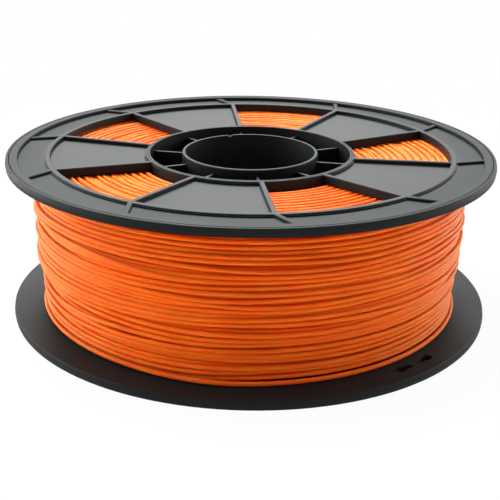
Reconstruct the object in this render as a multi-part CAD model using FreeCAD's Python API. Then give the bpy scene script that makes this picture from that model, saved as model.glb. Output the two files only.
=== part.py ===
import FreeCAD, Part
import math
import os

# A filament spool: two ribbed flanges on a hub, wound full with one strand.
# Millimetres, +Z along the spool's axis, Z = 0 on the face that it rests on.

V = FreeCAD.Vector
ORIGIN = V(0, 0, 0)
UP = V(0, 0, 1)

# Overall sizes
flange_radius = 100.0
spool_height = 67.0

# Flange section, depths measured inward from the outer face of the rim
rim_depth = 3.5
rim_width = 5.0
rim_round = 0.4
rim_draft = 0.2
rim_bevel = 0.3
groove_inset = 1.5
groove_width = 0.5
groove_depth = 0.45
rib_drop = 0.5
floor_drop = 1.65
margin_floor_depth = 1.6
floor_dish = 1.0
face_dish = 1.4

# Flange ribs, windows and closed panels
rib_count = 10
rib_angle = 22.7
rib_width = 2.0
rib_bevel = 0.25
rib_footing = 0.8
ring_inset = 15.7
ring_width = 2.2
ring_ledge_width = 0.4
ring_ledge_depth = 1.1
stub_lean = 4.1
turnover_angle = 4.7

# Hub: drum tube, spindle sleeve and the webs between them
drum_radius = 43.4
drum_wall = 1.8
hub_drop = 1.6
collar_drop = 0.05
spigot_step = 0.9
spigot_clearance = 0.05
collar_wall = 0.85
collar_ledge_width = 0.35
collar_ledge_depth = 2.35
bore_radius = 27.0
sleeve_wall = 1.2
web_thickness = 1.1
web_drop = 2.7
tube_edge = 0.3
gate_notch_angle = 107.0
gate_notch_width = 2.0
gate_notch_depth = 0.5

# Retaining holes of the lower flange, a pair either side of one rib
hole_angle = -49.3
hole_inset = 7.0
hole_head_radius = 1.8
hole_tail_radius = 0.7
hole_head_offset = 4.8
hole_tail_offset = 1.5

# Filament
filament_diameter = 1.75
strand_sides = 8
turn_gap = 0.6
most_loops = 24
upper_winding_inset = 10.4
lower_winding_inset = 12.0
winding_clearance = 0.2
turn_clearance = 0.15
band_height = 24.0
band_slope_height = 8.0
band_slope_steps = 8
loose_turn_stand_off = 2.4
top_turn_stand_off = 0.9
end_bend_radius = 2.6
end_seat_depth = 1.5
end_angle = 100.0
pocket_clearance = 0.3

# Sizes that follow from those above
rim_inner_radius = flange_radius - rim_width
ring_outer_radius = flange_radius - ring_inset
ring_inner_radius = ring_outer_radius - ring_width
ring_ledge_radius = ring_outer_radius + ring_ledge_width
spigot_radius = drum_radius - spigot_step
collar_inner_radius = spigot_radius + spigot_clearance
collar_outer_radius = collar_inner_radius + collar_wall
collar_ledge_radius = collar_outer_radius + collar_ledge_width
drum_inner_radius = drum_radius - drum_wall
sleeve_radius = bore_radius + sleeve_wall
rib_pitch = 360.0 / rib_count
hub_face_depth = rim_depth + face_dish
collar_depth = hub_drop + collar_drop
collar_middle = (collar_inner_radius + collar_outer_radius) / 2
hole_place_radius = flange_radius - hole_inset


def polar(radius, angle, z=0.0):
    a = math.radians(angle)
    return V(radius * math.cos(a), radius * math.sin(a), z)


def revolve(points):
    """A solid of revolution about Z from a closed (radius, z) outline."""
    corners = [V(r, 0, z) for r, z in points]
    outline = Part.makePolygon(corners + [corners[0]])
    return Part.Face(outline).revolve(ORIGIN, UP, 360)


def prism(outline, low, high):
    """A flat closed outline at Z = 0, made solid from low to high."""
    face = Part.Face(outline)
    face.translate(V(0, 0, low))
    return face.extrude(V(0, 0, high - low))


def round_corner(centre, radius, start, end, steps=6):
    """Points of a small arc in the (radius, z) section, angles in degrees."""
    angles = [start + (end - start) * i / steps for i in range(steps + 1)]
    return [(centre[0] + radius * math.cos(math.radians(a)),
             centre[1] + radius * math.sin(math.radians(a))) for a in angles]


def floor_depth(radius):
    """Depth of the closed panels' floor below the rim face, deeper towards the hub."""
    share = (ring_outer_radius - radius) / (ring_outer_radius - collar_inner_radius)
    return rib_drop + floor_drop + floor_dish * share


def sector_outline(inner, outer, start, end, margin):
    """The outline between two ribs: sides parallel to the ribs, ends round."""
    def corner(radius, angle, side):
        along = math.sqrt(radius ** 2 - margin ** 2)
        turn = math.degrees(math.atan2(margin, along))
        return polar(radius, angle + side * turn)
    a = corner(inner, start, 1)
    b = corner(outer, start, 1)
    c = corner(outer, end, -1)
    d = corner(inner, end, -1)
    middle = (start + end) / 2
    return Part.Wire([
        Part.makeLine(a, b),
        Part.Arc(b, polar(outer, middle), c).toShape(),
        Part.makeLine(c, d),
        Part.Arc(d, polar(inner, middle), a).toShape()])


def bar_outline(start, end, width):
    """A straight bar of the given width between two points of the plane."""
    along = (end - start).normalize()
    side = V(-along.y, along.x, 0) * (width / 2)
    corners = [start + side, end + side, end - side, start - side]
    return Part.makePolygon(corners + [corners[0]])


def bevelled_bar(start, end, width, height):
    """A straight bar along its top line, with bevelled top edges."""
    along = (end - start).normalize()
    side = V(-along.y, along.x, 0).normalize()
    section = [(-width / 2, -height), (width / 2, -height), (width / 2, -rib_bevel),
               (width / 2 - rib_bevel, 0), (rib_bevel - width / 2, 0), (-width / 2, -rib_bevel)]
    corners = [start + side * x + UP * z for x, z in section]
    return Part.Face(Part.makePolygon(corners + [corners[0]])).extrude(end - start)


def flange_plate():
    """The turned disc that carries the ribs, its outer face at Z = 0, with its rim."""
    edge = flange_radius - rim_draft
    groove = flange_radius - groove_inset
    section = [
        (collar_inner_radius, -floor_depth(collar_inner_radius)),
        (ring_outer_radius, -floor_depth(ring_outer_radius)),
        (ring_outer_radius, -margin_floor_depth),
        (rim_inner_radius, -margin_floor_depth),
        (rim_inner_radius, -rim_bevel),
        (rim_inner_radius + rim_bevel, 0),
        (groove - groove_width / 2, 0),
        (groove, -groove_depth),
        (groove + groove_width / 2, 0)]
    section += round_corner((edge - rim_round, -rim_round), rim_round, 90, 0)
    section.append((flange_radius, -rim_depth / 2))
    section += round_corner((edge - rim_round, rim_round - rim_depth), rim_round, 0, -90)
    section += [
        (ring_outer_radius, -rim_depth),
        (collar_inner_radius, -hub_face_depth)]
    return revolve(section)


def ring_and_collar():
    """The two raised hoops that the ribs run between, each with a ledge at its foot."""
    ring_low = -(rim_depth + floor_depth(ring_inner_radius)) / 2
    collar_low = -(hub_face_depth + floor_depth(collar_inner_radius)) / 2
    ring = revolve([
        (ring_inner_radius, ring_low),
        (ring_ledge_radius, ring_low),
        (ring_ledge_radius, -ring_ledge_depth),
        (ring_outer_radius, -ring_ledge_depth),
        (ring_outer_radius, -rib_drop - rib_bevel),
        (ring_outer_radius - rib_bevel, -rib_drop),
        (ring_inner_radius + rib_bevel, -rib_drop),
        (ring_inner_radius, -rib_drop - rib_bevel)])
    collar = revolve([
        (collar_inner_radius, collar_low),
        (collar_ledge_radius, collar_low),
        (collar_ledge_radius, -collar_ledge_depth),
        (collar_outer_radius, -collar_ledge_depth),
        (collar_outer_radius, -collar_depth - rib_bevel),
        (collar_outer_radius - rib_bevel, -collar_depth),
        (collar_inner_radius, -collar_depth)])
    return [ring, collar]


def ribs():
    """Ribs from collar to ring, each with its stub leaning out to the rim."""
    bars = []
    height = floor_drop + rib_footing
    ring_middle = ring_outer_radius - ring_width / 2
    for k in range(rib_count):
        angle = rib_angle + k * rib_pitch
        foot = polar(collar_middle, angle, -collar_depth)
        joint = polar(ring_middle, angle, -rib_drop)
        tip = polar(rim_inner_radius + rim_bevel + rib_width / 2, angle + stub_lean, -rib_drop)
        bars.append(bevelled_bar(foot, joint, rib_width, height))
        bars.append(bevelled_bar(joint, tip, rib_width, height))
    return bars


def windows():
    """Every other space between two ribs, as columns to cut away."""
    columns = []
    for k in range(1, rib_count, 2):
        start = rib_angle + k * rib_pitch
        outline = sector_outline(collar_ledge_radius, ring_inner_radius,
                                 start, start + rib_pitch, rib_width / 2)
        columns.append(prism(outline, -2 * hub_face_depth, rim_depth))
    return columns


def retaining_hole(angle, side):
    """A teardrop through the rim beside the rib at an angle, its tail towards the rib."""
    head = polar(hole_place_radius, angle + side * hole_head_offset)
    tail = polar(hole_place_radius, angle + side * hole_tail_offset)
    reach = (head - tail).Length
    along = (tail - head).normalize()
    across = V(-along.y, along.x, 0)
    lean = math.asin((hole_head_radius - hole_tail_radius) / reach)
    tangent = along * math.sin(lean) + across * math.cos(lean)
    mirrored = along * math.sin(lean) - across * math.cos(lean)
    outline = Part.Wire([
        Part.makeLine(head + tangent * hole_head_radius, tail + tangent * hole_tail_radius),
        Part.Arc(tail + tangent * hole_tail_radius, tail + along * hole_tail_radius,
                 tail + mirrored * hole_tail_radius).toShape(),
        Part.makeLine(tail + mirrored * hole_tail_radius, head + mirrored * hole_head_radius),
        Part.Arc(head + mirrored * hole_head_radius, head - along * hole_head_radius,
                 head + tangent * hole_head_radius).toShape()])
    return prism(outline, -2 * rim_depth, rim_depth)


def flange(holes=()):
    """One flange, outer face up at Z = 0: every other sector is a window."""
    plate = flange_plate().cut(windows())
    return plate.multiFuse(ring_and_collar() + ribs()).cut(list(holes)).removeSplitter()


def drum_tube():
    """The tube that the strand is wound on, a spigot at each end for the flanges."""
    low, high = hub_drop, spool_height - hub_drop
    low_seat, high_seat = hub_face_depth, spool_height - hub_face_depth
    return revolve([
        (drum_inner_radius, low),
        (spigot_radius - tube_edge, low),
        (spigot_radius, low + tube_edge),
        (spigot_radius, low_seat),
        (drum_radius, low_seat),
        (drum_radius, high_seat),
        (spigot_radius, high_seat),
        (spigot_radius, high - tube_edge),
        (spigot_radius - tube_edge, high),
        (drum_inner_radius, high)])


def spindle_sleeve():
    """The inner tube that turns on a spindle, with a small notch in its top edge."""
    low, high = hub_drop, spool_height - hub_drop
    sleeve = revolve([
        (bore_radius, low),
        (sleeve_radius - tube_edge, low),
        (sleeve_radius, low + tube_edge),
        (sleeve_radius, high - tube_edge),
        (sleeve_radius - tube_edge, high),
        (bore_radius, high)])
    inner = polar(bore_radius - sleeve_wall, gate_notch_angle)
    outer = polar(sleeve_radius + sleeve_wall, gate_notch_angle)
    notch = prism(bar_outline(inner, outer, gate_notch_width),
                  high - gate_notch_depth, high + gate_notch_depth)
    return sleeve.cut(notch)


def hub_webs():
    """Thin walls between sleeve and drum, one in line with each flange rib."""
    low, high = hub_drop + web_drop, spool_height - hub_drop - web_drop
    gap = revolve([(sleeve_radius, low), (drum_inner_radius, low),
                   (drum_inner_radius, high), (sleeve_radius, high)])
    webs = []
    for k in range(rib_count):
        angle = rib_angle + k * rib_pitch
        bar = bar_outline(polar(bore_radius, angle), polar(drum_radius, angle), web_thickness)
        webs.append(prism(bar, low, high).common(gap).Solids[0])
    return Part.makeCompound(webs)


# The winding's outer layer: where each turn's centre line runs
turn_radius = filament_diameter / 2
upper_centre = flange_radius - upper_winding_inset - turn_radius
lower_centre = flange_radius - lower_winding_inset - turn_radius
band_low = band_height - band_slope_height / 2
band_high = band_height + band_slope_height / 2
winding_low = rim_depth + winding_clearance
winding_high = spool_height - rim_depth - winding_clearance
coil_low = winding_low + turn_radius
coil_high = winding_high - turn_radius
coil_height = coil_high - coil_low
loops = min(most_loops, int(coil_height / (filament_diameter + turn_gap)))
turn_pitch = coil_height / loops
core_step = turn_radius + turn_clearance


def ease(value, start, end):
    """A smooth step from 0 at start to 1 at end."""
    share = min(max((value - start) / (end - start), 0.0), 1.0)
    return share * share * (3 - 2 * share)


def centre_radius(z):
    """Radius of the outer layer's centre line at a height."""
    radius = lower_centre + (upper_centre - lower_centre) * ease(z, band_low, band_high)
    radius += loose_turn_stand_off * (1 - ease(z, coil_low, coil_low + turn_pitch))
    return radius + top_turn_stand_off * ease(z, coil_high - turn_pitch, coil_high)


def coil_point(turns):
    """Centre line after a number of turns, and its direction there."""
    step = 0.001

    def place(count):
        z = coil_low + count * turn_pitch
        return polar(centre_radius(z), end_angle + 360 * count, z)
    before, after = max(turns - step, 0), min(turns + step, loops)
    return place(turns), (place(after) - place(before)).normalize()


def arc_from(start, direction, end):
    """The arc from start that sets out along direction and reaches end."""
    chord = end - start
    unit = V(chord).normalize()
    bulge = (direction - unit * direction.dot(unit)).normalize()
    half_turn = math.acos(max(-1.0, min(1.0, direction.dot(unit))))
    middle = start + chord / 2 + bulge * (chord.Length / 2 * math.tan(half_turn / 2))
    return Part.Arc(start, middle, end).toShape()


def biarc(start, direction, end, end_direction):
    """Two arcs that join two points and share a tangent where they meet."""
    gap = end - start
    total = direction + end_direction
    a = 2 * (direction.dot(end_direction) - 1)
    b = -2 * gap.dot(total)
    c = gap.dot(gap)
    reach = (-b - math.sqrt(b * b - 4 * a * c)) / (2 * a)
    joint = (start + direction * reach + end - end_direction * reach) / 2
    joint_direction = (end - end_direction * reach - start - direction * reach).normalize()
    return [arc_from(start, direction, joint), arc_from(joint, joint_direction, end)]


class CoilEnd:
    """The strand turning in to the layers below: way is 1 at the top, -1 at the start."""
    def __init__(self, turns, way):
        place, direction = coil_point(turns)
        out = V(place.x, place.y, 0).normalize()
        along = direction * way
        along = (along - out * along.dot(out)).normalize()
        radius = V(place.x, place.y, 0).Length
        core_radius = lower_centre if way < 0 else upper_centre
        floor = min(core_radius - core_step - end_seat_depth,
                    radius - end_bend_radius - filament_diameter)
        half = math.sqrt(0.5)
        self.out = out
        self.along = along
        self.place = place
        self.middle = (place + along * (end_bend_radius * half)
                       - out * (end_bend_radius * (1 - half)))
        self.foot = place + along * end_bend_radius - out * end_bend_radius
        self.seat = self.foot - out * (radius - end_bend_radius - floor)


def winding_path():
    """The outer layer's centre line: quarter turns as biarcs, both ends turned in."""
    first, last = CoilEnd(0, -1), CoilEnd(loops, 1)
    edges = [Part.makeLine(first.seat, first.foot),
             Part.Arc(first.foot, first.middle, first.place).toShape()]
    for k in range(4 * loops):
        start, direction = coil_point(k / 4)
        end, end_direction = coil_point((k + 1) / 4)
        if k == 0:
            direction = first.along * -1
        if k == 4 * loops - 1:
            end_direction = last.along
        edges += biarc(start, direction, end, end_direction)
    edges += [Part.Arc(last.place, last.middle, last.foot).toShape(),
              Part.makeLine(last.foot, last.seat)]
    return Part.Wire(edges)


def outer_layer(path):
    """One unbroken strand along the path, its round section taken as a polygon."""
    first = path.Edges[0]
    start = first.valueAt(first.FirstParameter)
    along = first.tangentAt(first.FirstParameter)
    across = along.cross(UP).normalize()
    upward = across.cross(along)
    corners = []
    for k in range(strand_sides):
        turn = 2 * math.pi * (k + 0.5) / strand_sides
        corners.append(start + (across * math.cos(turn) + upward * math.sin(turn)) * turn_radius)
    ring = Part.makePolygon(corners + [corners[0]])
    return path.makePipeShell([ring], True, False)


def inner_layers():
    """The layers below, as one plain body of revolution, pocketed for the strand's ends."""
    low_core = lower_centre - core_step
    high_core = upper_centre - core_step
    hub_low = hub_face_depth + winding_clearance
    section = [
        (drum_radius + winding_clearance, hub_low),
        (ring_outer_radius, winding_low),
        (low_core, winding_low)]
    for i in range(band_slope_steps + 1):
        z = band_low + band_slope_height * i / band_slope_steps
        section.append((low_core + (high_core - low_core) * ease(z, band_low, band_high), z))
    section += [
        (high_core, winding_high),
        (ring_outer_radius, winding_high),
        (drum_radius + winding_clearance, spool_height - hub_low)]
    body = revolve(section)
    pockets = []
    half_width = turn_radius + pocket_clearance
    for end in (CoilEnd(0, -1), CoilEnd(loops, 1)):
        depth = (end.place - end.seat).dot(end.out)
        across = end.out.cross(end.along)
        corner = end.seat - end.along * (end_bend_radius + half_width) - across * half_width
        length = end_bend_radius + 2 * half_width
        base = Part.makePolygon([
            corner, corner + end.along * length,
            corner + end.along * length + across * (2 * half_width),
            corner + across * (2 * half_width), corner])
        pockets.append(Part.Face(base).extrude(end.out * (depth + filament_diameter)))
    return body.cut(pockets)


def report_coil(path, strand):
    """Print the winding's loops, radii, least gap to itself and volume against length."""
    radii = [e.Curve.Radius for e in path.Edges if hasattr(e.Curve, "Radius")]
    per_turn = 48
    edges_per_turn = 8
    points = [p for e in path.Edges[2:-2]
              for p in e.discretize(per_turn // edges_per_turn + 1)[:-1]]
    least = math.inf
    for i, p in enumerate(points):
        for q in points[i + per_turn // 2:i + 3 * per_turn // 2]:
            least = min(least, p.distanceToPoint(q))
    for p in [p for e in path.Edges[:2] + path.Edges[-2:] for p in e.discretize(per_turn // 4)]:
        for q in points:
            if p.distanceToPoint(q) > 2 * end_bend_radius or abs(p.z - q.z) > filament_diameter:
                least = min(least, p.distanceToPoint(q))
    section = strand_sides / 2 * turn_radius ** 2 * math.sin(2 * math.pi / strand_sides)
    expected = section * path.Length
    print("loops %d, pitch %.3f, strand length %.1f" % (loops, turn_pitch, path.Length))
    print("tightest radius %.2f, widest %.2f" % (min(radii), max(radii)))
    print("least gap to itself %.3f" % (least - filament_diameter))
    print("volume %.1f, section times length %.1f" % (strand.Volume, expected))


def placed_flanges():
    """The upper flange in place, and the lower one turned over to face it."""
    upper = flange()
    upper.translate(V(0, 0, spool_height))
    unturned_angle = 2 * turnover_angle - hole_angle
    lower = flange([retaining_hole(unturned_angle, side) for side in (-1, 1)])
    lower.rotate(ORIGIN, polar(1, turnover_angle), 180)
    return upper, lower


def main():
    os.makedirs("parts", exist_ok=True)
    upper, lower = placed_flanges()
    path = winding_path()
    strand = outer_layer(path)
    report_coil(path, strand)
    pieces = {
        "upper_flange": upper,
        "lower_flange": lower,
        "drum_tube": drum_tube(),
        "spindle_sleeve": spindle_sleeve(),
        "hub_webs": hub_webs(),
        "filament_inner_layers": inner_layers(),
        "filament_outer_layer": strand}
    for name, shape in pieces.items():
        print("%s: %d solids, valid %s, volume %.0f"
              % (name, len(shape.Solids), shape.isValid(), shape.Volume))
        shape.exportStep("parts/%s.step" % name)


main()
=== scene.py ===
import math

import bpy
import numpy as np
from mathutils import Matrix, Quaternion, Vector


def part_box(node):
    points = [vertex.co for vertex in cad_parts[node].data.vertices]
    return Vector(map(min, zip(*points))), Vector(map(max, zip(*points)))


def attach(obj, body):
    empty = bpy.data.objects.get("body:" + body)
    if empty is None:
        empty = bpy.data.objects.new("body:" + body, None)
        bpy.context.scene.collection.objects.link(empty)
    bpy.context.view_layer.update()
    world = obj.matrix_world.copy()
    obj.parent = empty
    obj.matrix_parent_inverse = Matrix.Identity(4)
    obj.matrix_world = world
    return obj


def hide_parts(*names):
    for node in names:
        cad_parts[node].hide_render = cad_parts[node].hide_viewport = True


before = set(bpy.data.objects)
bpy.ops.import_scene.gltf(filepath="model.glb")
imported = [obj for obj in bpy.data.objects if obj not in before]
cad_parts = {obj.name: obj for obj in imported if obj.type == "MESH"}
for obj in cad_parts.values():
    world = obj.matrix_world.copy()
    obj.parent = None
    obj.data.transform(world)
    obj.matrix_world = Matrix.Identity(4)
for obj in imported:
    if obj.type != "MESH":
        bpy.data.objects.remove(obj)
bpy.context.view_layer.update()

# A filament spool: black ribbed flanges on a webbed hub, wound full with one orange strand.
# Metres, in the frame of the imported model. Angles are in degrees, measured from +X towards +Y.

MM = 0.001

# Camera. AXIS_PIXELS is where its axis meets the picture, right of and below the middle.
CAMERA_DISTANCE = 431.104 * MM
CAMERA_ELEVATION = 19.584
CAMERA_RISE = 33.2 * MM
CAMERA_SIDE = -9.866 * MM
CAMERA_ROLL = 0.359
CAMERA_FOCAL_PIXELS = 1008.457
CAMERA_NEAREST = 0.01
CAMERA_FARTHEST = 20.0
AXIS_PIXELS = (-24.262, -26.455)
PICTURE_PIXELS = 500
SENSOR_WIDTH = 36.0

# Winding: how the strand is guided
SEED = 7
STRAND = 1.75 * MM
UPPER_CLEARANCE = 0.25 * MM
LOWER_REACH = 0.1 * MM
FACE_DISH = 1.35 * MM
DISH_RADIUS = 84.3 * MM
SAMPLES_PER_TURN = 120
HEIGHT_STEPS = 400
TURN_PITCH = 1.92 * MM
OUTER_PITCH_SHARE = 1.12
PITCH_SPREAD = 0.02
FULL_LAYERS = 29
OUTER_LAYERS = 4
LAST_LAYER_END = 23.5 * MM
DWELL_TURNS = 0.5
INNER_WANDER = 0.12 * MM
OUTER_WANDER = 0.80 * MM
LONG_WANDER_TURNS = 0.5
SHORT_WANDER_TURNS = 0.10
SHORT_WANDER_SHARE = 0.8
BULGE_SHARE = 0.12
BULGE_HEIGHT = 47.5 * MM
BULGE_SPACING = 14.5 * MM
BULGE_FLOOR = 20.0 * MM

# Winding: how the strand settles on what lies below it. GUIDE_PULL and BEND_COST weigh a step off the
# guided height, and a change of that step, against the radius that the strand rests at.
OFFSET_STEPS = 13
OFFSETS = np.arange(-OFFSET_STEPS, OFFSET_STEPS + 1) * 0.1 * MM
GUIDE_PULL = 200.0
BEND_COST = 2600.0
NEIGHBOUR_SQUEEZE = 0.95
REACH_TURNS = 80
LOOK_AHEAD = 12
HEIGHT_SMOOTHING = 2
RADIUS_SMOOTHING = 3
SMOOTHING_REACH = 3

# Winding: where its end lies
END_ANGLE = 100.0
DROP_TURNS = 0.3
BOTTOM_TURNS = 0.86
BOTTOM_STAND_OFF = 1.3 * MM

# Winding: what becomes a mesh. The layers below the top ones and those under them show only their ends.
TOP_LAYERS = 2
UNDER_LAYERS = 2
TOP_SIDES = 12
INNER_SIDES = 8
END_ROWS = 2.3
SHORTEST_RUN = 3
CORE_ROWS = 1.5
CORE_GAP = 0.5 * MM
ROUND_STEPS = 96
ROUND_ANGLES = [2 * math.pi * i / ROUND_STEPS for i in range(ROUND_STEPS)]

# Strand plastic; colours are linear, and the shades multiply them
STRAND_COLOUR = (0.90, 0.170, 0.015)
STRAND_DARKER = (0.93, 0.93, 0.93)
STRAND_LIGHTER = (1.0, 1.12, 1.15)
STRAND_PATCHES = {"Scale": 60.0, "Detail": 3.0}
STRAND_PATCH_START = 0.35
STRAND_PATCH_END = 0.65
STRAND_FINISH = {
    "Roughness": 0.55,
    "Specular IOR Level": 0.20,
    "Specular Tint": (1.0, 0.90, 0.1, 1),
    "Subsurface Weight": 1.0,
    "Subsurface Radius": (1.0, 0.2, 0.05),
    "Subsurface Scale": 0.7 * MM}

# Moulded plastic of the flanges and the hub; MARGIN_ROUGHNESS multiplies the roughness outside the dish
PLASTIC_COLOUR = (0.0035, 0.0045, 0.0050)
PLASTIC_DARKER = (0.85, 0.85, 0.85)
PLASTIC_LIGHTER = (1.2, 1.2, 1.2)
PLASTIC_PATCHES = {"Scale": 35.0, "Detail": 4.0}
PLASTIC_FINISH = {"IOR": 1.27, "Specular Tint": (0.88, 1.0, 0.93, 1)}
SHINY_ROUGHNESS = 0.46
DULL_ROUGHNESS = 0.54
MARGIN_ROUGHNESS = 1.25
MARGIN_EDGE = 1.7 * MM
GRAIN = {"Scale": 2200.0, "Detail": 2.0}
GRAIN_STRENGTH = 0.25
GRAIN_DEPTH = 0.03 * MM

# Floor: its white fades to the surroundings' white, and leaves out the part that the spool covers
FLOOR_COLOUR = (0.80, 0.80, 0.80)
FLOOR_ROUGHNESS = 0.9
FLOOR_RADIUS = 0.42
FLOOR_GAP = 0.05 * MM
FLOOR_GLOW = 0.96
FLOOR_COVERED_RADIUS = 97.0 * MM
FLOOR_FADE_START = 0.20
FLOOR_FADE_END = 0.98 * FLOOR_RADIUS

# Surroundings, as matt surfaces see them: strength by the cosine of the angle from BRIGHT_SIDE
BRIGHT_SIDE = (0.0, 0.8, 0.6)
WORLD_FRONT = 0.05
WORLD_BACK = 0.55
WORLD_FRONT_COSINE = -0.35
WORLD_BACK_COSINE = 0.45

# Lamps: place, width, watts and colour
LAMP_AIM = (0, 0, 0.03)
WHITE = (1.0, 1.0, 1.0)
WARM = (1.0, 0.35, 0.30)
LAMPS = {
    "overhead_lamp": ((-0.20, 0.27, 1.10), 0.5, 19.0, WHITE),
    "left_lamp": ((-1.0, 0.05, 0.40), 0.6, 8.6, WHITE),
    "right_lamp": ((1.0, 0.05, 0.40), 0.6, 3.8, WHITE),
    "front_lamp": ((0.0, -1.2, 0.10), 0.6, 2.2, WARM)}
SOFTBOXES = {
    "back_softbox": ((0.0, 1.54, 1.84), 2.0, 116.0, WHITE),
    "left_softbox": ((-1.26, 0.72, 0.15), 1.0, 20.0, WHITE),
    "right_softbox": ((1.26, 0.72, 0.15), 1.0, 14.0, WHITE)}


def ease(share):
    """Goes from 0 to 1 with a soft start and a soft end."""
    return share * share * (3 - 2 * share)


def smooth_values(rng, count, wavelength):
    """Random values between -1 and 1 that change smoothly along the strand."""
    places = np.arange(count) / wavelength
    knots = rng.uniform(-1, 1, int(places[-1]) + 2)
    left = places.astype(int)
    share = ease(places - left)
    return knots[left] * (1 - share) + knots[left + 1] * share


def smoothed(values, before, width):
    """Values averaged along the strand, after what was laid before them."""
    reach = SMOOTHING_REACH * width
    weights = np.exp(-0.5 * (np.arange(-reach, reach + 1) / width) ** 2)
    lead = before[-reach:] if len(before) >= reach else np.full(reach, values[0])
    padded = np.concatenate([lead, values, np.full(reach, values[-1])])
    return np.convolve(padded, weights / weights.sum(), "valid")


class Winding:
    """The whole strand, laid turn on turn between two heights."""

    def __init__(self, low, high, drum_radius):
        self.lowest, self.highest = low, high
        self.low, self.high = low, high
        self.drum_radius = drum_radius
        self.innermost = drum_radius + STRAND / 2
        self.heights = np.empty(0)
        self.radii = np.empty(0)
        self.layer_starts = []

    def limits(self, radius):
        """Lowest and highest place of the strand at a radius, between the dished faces of the flanges."""
        share = np.clip((DISH_RADIUS - radius) / (DISH_RADIUS - self.drum_radius), 0, 1)
        return self.lowest + FACE_DISH * share, self.highest - FACE_DISH * share

    def resting_radius(self, here, places, first):
        """Radius at which samples rest if they lie at the given heights (samples by choices)."""
        back = SAMPLES_PER_TURN * np.arange(1, REACH_TURNS)[:, None]
        below = here[None, :] - back
        known = (below >= 0)[:, :, None]
        below = np.maximum(below, 0)
        reach = np.where(below >= first, NEIGHBOUR_SQUEEZE * STRAND, STRAND)[:, :, None]
        apart = np.abs(places[None] - self.heights[below][:, :, None])
        rise = np.sqrt(np.maximum(reach ** 2 - apart ** 2, 0))
        level = np.where(known & (apart < reach), self.radii[below][:, :, None] + rise, 0)
        return np.maximum(level.max(axis=0), self.innermost)

    def easiest_offsets(self, here, guide, first, last_offset):
        """Offsets from the guided heights that let the strand sink into grooves without sharp bends."""
        places = np.clip(guide[:, None] + OFFSETS[None, :], self.low, self.high)
        cost = self.resting_radius(here, places, first) + GUIDE_PULL * OFFSETS[None, :] ** 2
        bend = BEND_COST * (OFFSETS[:, None] - OFFSETS[None, :]) ** 2
        total = cost[0] + BEND_COST * (OFFSETS - last_offset) ** 2
        came_from = np.zeros(places.shape, int)
        for i in range(1, len(here)):
            routes = total[:, None] + bend
            came_from[i] = routes.argmin(axis=0)
            total = routes.min(axis=0) + cost[i]
        choice = int(total.argmin())
        chosen = np.zeros(len(here), int)
        for i in range(len(here) - 1, -1, -1):
            chosen[i] = choice
            choice = came_from[i][choice]
        return OFFSETS[chosen]

    def lay(self, guide):
        """Lays the strand along guided heights, a turn at a time; each turn's last samples are laid again."""
        first = len(self.heights)
        last = first + len(guide)
        self.heights = np.append(self.heights, np.zeros(len(guide)))
        self.radii = np.append(self.radii, np.zeros(len(guide)))
        start, offset = first, 0.0
        while start < last:
            here = np.arange(start, min(start + SAMPLES_PER_TURN, last))
            aim = guide[here - first]
            offsets = self.easiest_offsets(here, aim, first, offset)
            places = smoothed(aim + offsets, self.heights[:start], HEIGHT_SMOOTHING)
            places = np.clip(places, self.low, self.high)
            radii = self.resting_radius(here, places[:, None], first)[:, 0]
            radii = smoothed(radii, self.radii[:start], RADIUS_SMOOTHING)
            kept = len(here) - (0 if here[-1] == last - 1 else LOOK_AHEAD)
            self.heights[here[:kept]] = places[:kept]
            self.radii[here[:kept]] = radii[:kept]
            offset = offsets[kept - 1]
            start += kept

    def turns_below(self, pitch, outer):
        """Heights, and the turns that a layer has below each; an outer layer's turns bunch in bulges."""
        heights = np.linspace(self.low, self.high, HEIGHT_STEPS)
        density = np.ones(HEIGHT_STEPS)
        if outer:
            wave = np.cos(2 * math.pi * (heights - BULGE_HEIGHT) / BULGE_SPACING)
            density += BULGE_SHARE * wave * (heights > BULGE_FLOOR)
        turns = np.cumsum(density)
        turns *= (self.high - self.low) / pitch / turns[-1]
        return heights, turns

    def guide(self, layer, rng):
        """Heights that a layer is guided to; the last layer stops part of the way down."""
        outer = layer > FULL_LAYERS - OUTER_LAYERS
        pitch = TURN_PITCH * rng.uniform(1 - PITCH_SPREAD, 1 + PITCH_SPREAD)
        if outer:
            pitch *= OUTER_PITCH_SHARE
        heights, turns = self.turns_below(pitch, outer)
        bottom = LAST_LAYER_END if layer == FULL_LAYERS else self.low
        fewest = np.interp(bottom, heights, turns)
        count = int((turns[-1] - fewest + DWELL_TURNS) * SAMPLES_PER_TURN)
        made = np.arange(count) / SAMPLES_PER_TURN
        rising = layer % 2 != FULL_LAYERS % 2
        made = fewest + made if rising else turns[-1] + DWELL_TURNS / 2 - made
        drift = smooth_values(rng, count, LONG_WANDER_TURNS * SAMPLES_PER_TURN)
        drift += SHORT_WANDER_SHARE * smooth_values(rng, count, SHORT_WANDER_TURNS * SAMPLES_PER_TURN)
        wander = OUTER_WANDER if outer else INNER_WANDER
        return np.clip(np.interp(made, turns, heights) + wander * drift, self.low, self.high)

    def wind(self):
        """Lays the layers to and fro, each as far out as the last turn reached."""
        rng = np.random.default_rng(SEED)
        for layer in range(FULL_LAYERS + 1):
            reached = self.radii[-SAMPLES_PER_TURN:].mean() if layer else self.innermost
            self.low, self.high = self.limits(reached)
            self.layer_starts.append(len(self.heights))
            self.lay(self.guide(layer, rng))

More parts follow.
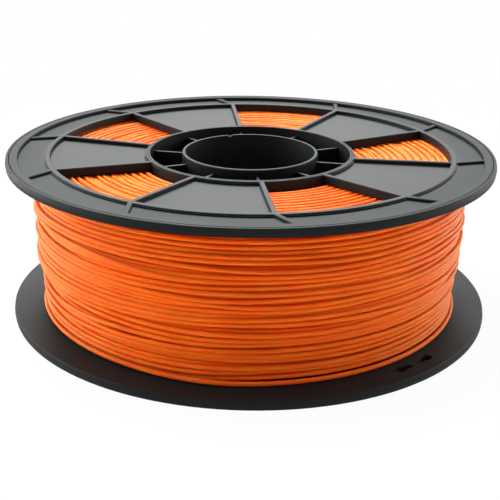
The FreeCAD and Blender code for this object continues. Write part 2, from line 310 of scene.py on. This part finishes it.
    def lay_end(self):
        """Lays the strand's last turn: down at the back, then round on the lower flange, a little loose."""
        drop = int(DROP_TURNS * SAMPLES_PER_TURN)
        round_turn = int(BOTTOM_TURNS * SAMPLES_PER_TURN)
        first = len(self.heights)
        start = self.heights[-1]
        falling = start + (self.low - start) * ease(np.linspace(0, 1, drop))
        self.lay(np.append(falling, np.full(round_turn, self.low)))
        swell = np.clip((np.arange(drop + round_turn) - drop) / drop, 0, 1)
        self.radii[first:] += BOTTOM_STAND_OFF * ease(swell)

    def points(self):
        """Centre points of the strand, its end at END_ANGLE."""
        samples = np.arange(len(self.radii))
        angles = math.radians(END_ANGLE) - 2 * math.pi * (len(samples) - 1 - samples) / SAMPLES_PER_TURN
        return np.stack([self.radii * np.cos(angles), self.radii * np.sin(angles), self.heights], axis=1)


def add_mesh(name, vertices, faces):
    mesh = bpy.data.meshes.new(name)
    mesh.from_pydata(vertices, [], faces)
    piece = bpy.data.objects.new(name, mesh)
    bpy.context.scene.collection.objects.link(piece)
    return piece


def tube(name, runs, sides):
    """One mesh of round tubes with closed ends, one for each run of centre points."""
    vertices, faces = [], []
    turn = 2 * math.pi * np.arange(sides) / sides
    for points in runs:
        along = np.gradient(points, axis=0)
        along /= np.linalg.norm(along, axis=1)[:, None]
        out = np.cross(along, [0, 0, 1])
        out /= np.linalg.norm(out, axis=1)[:, None]
        rise = np.cross(out, along)
        rings = (points[:, None, :]
                 + STRAND / 2 * np.cos(turn)[None, :, None] * out[:, None, :]
                 + STRAND / 2 * np.sin(turn)[None, :, None] * rise[:, None, :])
        first_ring = len(vertices)
        last_ring = first_ring + (len(points) - 1) * sides
        vertices += rings.reshape(-1, 3).tolist()
        for a in range(first_ring, last_ring, sides):
            for j in range(sides):
                k = (j + 1) % sides
                faces.append((a + j, a + k, a + sides + k, a + sides + j))
        faces.append(tuple(reversed(range(first_ring, first_ring + sides))))
        faces.append(tuple(range(last_ring, last_ring + sides)))
    piece = add_mesh(name, vertices, faces)
    piece.data.shade_smooth()
    return piece


def runs_of(mask, points):
    """The stretches of points where the mask holds."""
    edges = np.flatnonzero(np.diff(np.concatenate([[0], mask.astype(int), [0]])))
    return [points[a:b] for a, b in edges.reshape(-1, 2) if b - a >= SHORTEST_RUN]


def turned(name, section):
    """A closed solid of revolution about Z from a closed (radius, height) outline."""
    vertices, faces = [], []
    n = len(section)
    for i, angle in enumerate(ROUND_ANGLES):
        vertices += [(r * math.cos(angle), r * math.sin(angle), z) for r, z in section]
        a, b = i * n, ((i + 1) % ROUND_STEPS) * n
        for j in range(n):
            k = (j + 1) % n
            faces.append((a + j, b + j, b + k, a + k))
    return add_mesh(name, vertices, faces)


def make_winding():
    """The wound strand: its top layers, those under them, the layer ends behind the windows, and a core."""
    low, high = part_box("filament_inner_layers")
    bottom = low.z + STRAND / 2 - LOWER_REACH
    top = high.z - STRAND / 2 - UPPER_CLEARANCE
    drum_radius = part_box("drum_tube")[1].x
    winding = Winding(bottom, top, drum_radius)
    winding.wind()
    winding.lay_end()

    starts, heights, points = winding.layer_starts, winding.heights, winding.points()
    top_start = starts[-TOP_LAYERS]
    under_start, under_end = starts[-TOP_LAYERS - UNDER_LAYERS:][:2]
    lowest, highest = winding.limits(winding.radii)
    samples = np.arange(len(heights))
    outer = samples >= top_start
    under = (samples >= under_start) & ~outer
    inner = samples < under_start
    upper = inner & (heights > highest - END_ROWS * TURN_PITCH)
    lower = inner & (heights < lowest + END_ROWS * TURN_PITCH)

    core_outside = winding.radii[under_start:under_end].min()
    core_inside = drum_radius + CORE_GAP
    core_low, core_high = bottom + CORE_ROWS * TURN_PITCH, top - CORE_ROWS * TURN_PITCH
    core = [(core_inside, core_low + FACE_DISH), (core_outside, core_low),
            (core_outside, core_high), (core_inside, core_high - FACE_DISH)]
    return [
        tube("winding_outer_turns", runs_of(outer, points), TOP_SIDES),
        tube("winding_under_turns", runs_of(under, points), INNER_SIDES),
        tube("winding_upper_ends", runs_of(upper, points), INNER_SIDES),
        tube("winding_lower_ends", runs_of(lower, points), INNER_SIDES),
        turned("winding_core", core)]


def new_material(name):
    """A node material with its tree and its main shader."""
    material = bpy.data.materials.new(name)
    material.use_nodes = True
    tree = material.node_tree
    return material, tree, tree.nodes["Principled BSDF"]


def set_inputs(tree, node, inputs):
    """Gives a node's inputs plain values, or links them to other nodes' outputs."""
    for name, value in inputs.items():
        if isinstance(value, bpy.types.NodeSocket):
            tree.links.new(value, node.inputs[name])
        else:
            node.inputs[name].default_value = value


def output_of(tree, kind, output, inputs, **settings):
    """The named output of a new shader node with the given inputs and settings."""
    node = tree.nodes.new("ShaderNode" + kind)
    for setting, value in settings.items():
        setattr(node, setting, value)
    set_inputs(tree, node, inputs)
    return node.outputs[output]


def combined(tree, operation, a, b):
    return output_of(tree, "Math", "Value", {0: a, 1: b}, operation=operation)


def distance(tree, place):
    """How far a place is from the origin."""
    return output_of(tree, "VectorMath", "Value", {0: place}, operation="LENGTH")


def between_shades(tree, share, colour, darker, lighter, start=0.0, end=1.0):
    """A colour that goes from its darker to its lighter shade as the share goes from start to end."""
    node = tree.nodes.new("ShaderNodeValToRGB")
    for element, position, shade in zip(node.color_ramp.elements, (start, end), (darker, lighter)):
        element.position = position
        element.color = (*[c * s for c, s in zip(colour, shade)], 1)
    set_inputs(tree, node, {"Fac": share})
    return node.outputs["Color"]


def strand_material():
    """Semi-gloss, slightly translucent orange plastic, its colour uneven along the strand."""
    material, tree, shader = new_material("strand_plastic")
    place = output_of(tree, "TexCoord", "Object", {})
    patches = output_of(tree, "TexNoise", "Fac", {"Vector": place, **STRAND_PATCHES})
    colour = between_shades(tree, patches, STRAND_COLOUR, STRAND_DARKER, STRAND_LIGHTER,
                            STRAND_PATCH_START, STRAND_PATCH_END)
    set_inputs(tree, shader, {"Base Color": colour, **STRAND_FINISH})
    return material


def moulded_plastic(name):
    """Black satin plastic with a fine grain, faint flow marks and uneven shine, duller on the margins."""
    material, tree, shader = new_material(name)
    place = output_of(tree, "TexCoord", "Object", {})
    patches = output_of(tree, "TexNoise", "Fac", {"Vector": place, **PLASTIC_PATCHES})
    colour = between_shades(tree, patches, PLASTIC_COLOUR, PLASTIC_DARKER, PLASTIC_LIGHTER)
    shine = output_of(tree, "MapRange", "Result", {
        "Value": patches, "To Min": SHINY_ROUGHNESS, "To Max": DULL_ROUGHNESS})
    level_place = output_of(tree, "VectorMath", "Vector", {0: place, 1: (1, 1, 0)}, operation="MULTIPLY")
    margin = output_of(tree, "MapRange", "Result", {
        "Value": distance(tree, level_place),
        "From Min": DISH_RADIUS, "From Max": DISH_RADIUS + MARGIN_EDGE,
        "To Min": 1.0, "To Max": MARGIN_ROUGHNESS})
    grain = output_of(tree, "TexNoise", "Fac", {"Vector": place, **GRAIN})
    normal = output_of(tree, "Bump", "Normal", {
        "Height": grain, "Strength": GRAIN_STRENGTH, "Distance": GRAIN_DEPTH})
    set_inputs(tree, shader, {
        "Base Color": colour,
        "Roughness": combined(tree, "MULTIPLY", margin, shine),
        "Normal": normal,
        **PLASTIC_FINISH})
    return material


def paint(piece, material):
    piece.data.materials.clear()
    piece.data.materials.append(material)


def make_camera():
    elevation = math.radians(CAMERA_ELEVATION)
    back = Vector((0, -math.cos(elevation), math.sin(elevation)))
    data = bpy.data.cameras.new("camera")
    data.sensor_width = SENSOR_WIDTH
    data.lens = SENSOR_WIDTH * CAMERA_FOCAL_PIXELS / PICTURE_PIXELS
    data.shift_x = -AXIS_PIXELS[0] / PICTURE_PIXELS
    data.shift_y = AXIS_PIXELS[1] / PICTURE_PIXELS
    data.clip_start = CAMERA_NEAREST
    data.clip_end = CAMERA_FARTHEST
    camera = bpy.data.objects.new("camera", data)
    camera.location = back * CAMERA_DISTANCE + Vector((CAMERA_SIDE, 0, CAMERA_RISE))
    camera.rotation_mode = "QUATERNION"
    roll = Quaternion((0, 0, 1), math.radians(CAMERA_ROLL))
    camera.rotation_quaternion = back.to_track_quat("Z", "Y") @ roll
    bpy.context.scene.collection.objects.link(camera)
    bpy.context.scene.camera = camera


def background_rays(tree):
    """One for the rays that show the white background: camera, glossy and transmission rays."""
    ray = tree.nodes.new("ShaderNodeLightPath")
    reflected = combined(tree, "MAXIMUM", ray.outputs["Is Glossy Ray"], ray.outputs["Is Transmission Ray"])
    return combined(tree, "MAXIMUM", ray.outputs["Is Camera Ray"], reflected)


def make_floor():
    """A round white floor that keeps the object's shadow; beyond its edge the surroundings are as white."""
    edge = [(FLOOR_RADIUS * math.cos(a), FLOOR_RADIUS * math.sin(a), -FLOOR_GAP) for a in ROUND_ANGLES]
    floor = add_mesh("floor", edge, [tuple(range(ROUND_STEPS))])
    material, tree, shader = new_material("floor")
    set_inputs(tree, shader, {"Base Color": (*FLOOR_COLOUR, 1), "Roughness": FLOOR_ROUGHNESS})
    radius = distance(tree, output_of(tree, "TexCoord", "Object", {}))
    fade = output_of(tree, "MapRange", "Result", {
        "Value": radius,
        "From Min": FLOOR_FADE_START, "From Max": FLOOR_FADE_END,
        "To Min": FLOOR_GLOW, "To Max": 1.0}, interpolation_type="SMOOTHSTEP")
    uncovered = combined(tree, "GREATER_THAN", radius, FLOOR_COVERED_RADIUS)
    shown = combined(tree, "MULTIPLY", background_rays(tree), fade)
    surface = output_of(tree, "MixShader", "Shader", {
        "Fac": combined(tree, "MULTIPLY", shown, uncovered),
        1: shader.outputs["BSDF"],
        2: output_of(tree, "Emission", "Emission", {})})
    set_inputs(tree, tree.nodes["Material Output"], {"Surface": surface})
    paint(floor, material)


def make_world():
    """White surroundings that light matt surfaces from above and behind, and little from the front."""
    world = bpy.data.worlds.new("studio")
    bpy.context.scene.world = world
    world.use_nodes = True
    tree = world.node_tree
    direction = output_of(tree, "TexCoord", "Generated", {})
    cosine = output_of(tree, "VectorMath", "Value", {0: direction, 1: BRIGHT_SIDE}, operation="DOT_PRODUCT")
    level = output_of(tree, "MapRange", "Result", {
        "Value": cosine,
        "From Min": WORLD_FRONT_COSINE, "From Max": WORLD_BACK_COSINE,
        "To Min": WORLD_FRONT, "To Max": WORLD_BACK}, interpolation_type="SMOOTHSTEP")
    strength = output_of(tree, "Mix", "Result", {"Factor": background_rays(tree), "A": level, "B": 1.0})
    set_inputs(tree, tree.nodes["Background"], {"Color": (*WHITE, 1), "Strength": strength})


def make_lamp(name, place, width, watts, colour):
    data = bpy.data.lights.new(name, "AREA")
    data.shape = "DISK"
    data.size = width
    data.energy = watts
    data.color = colour
    lamp = bpy.data.objects.new(name, data)
    lamp.location = place
    lamp.rotation_mode = "QUATERNION"
    lamp.rotation_quaternion = (Vector(LAMP_AIM) - Vector(place)).to_track_quat("-Z", "Y")
    bpy.context.scene.collection.objects.link(lamp)
    return lamp


def make_lights():
    """Lamps for the colours, and softboxes above and beside the back that only show in glossy surfaces."""
    for name, values in LAMPS.items():
        make_lamp(name, *values)
    for name, values in SOFTBOXES.items():
        make_lamp(name, *values).visible_diffuse = False


make_camera()
winding = make_winding()
orange = strand_material()
for piece in winding:
    paint(piece, orange)
    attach(piece, "root")
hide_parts("filament_outer_layer", "filament_inner_layers")
flange_plastic = moulded_plastic("flange_plastic")
hub_plastic = moulded_plastic("hub_plastic")
for name in ("upper_flange", "lower_flange"):
    paint(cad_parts[name], flange_plastic)
for name in ("drum_tube", "spindle_sleeve", "hub_webs"):
    paint(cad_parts[name], hub_plastic)
make_floor()
make_world()
make_lights()
bpy.context.scene.view_settings.view_transform = "Standard"
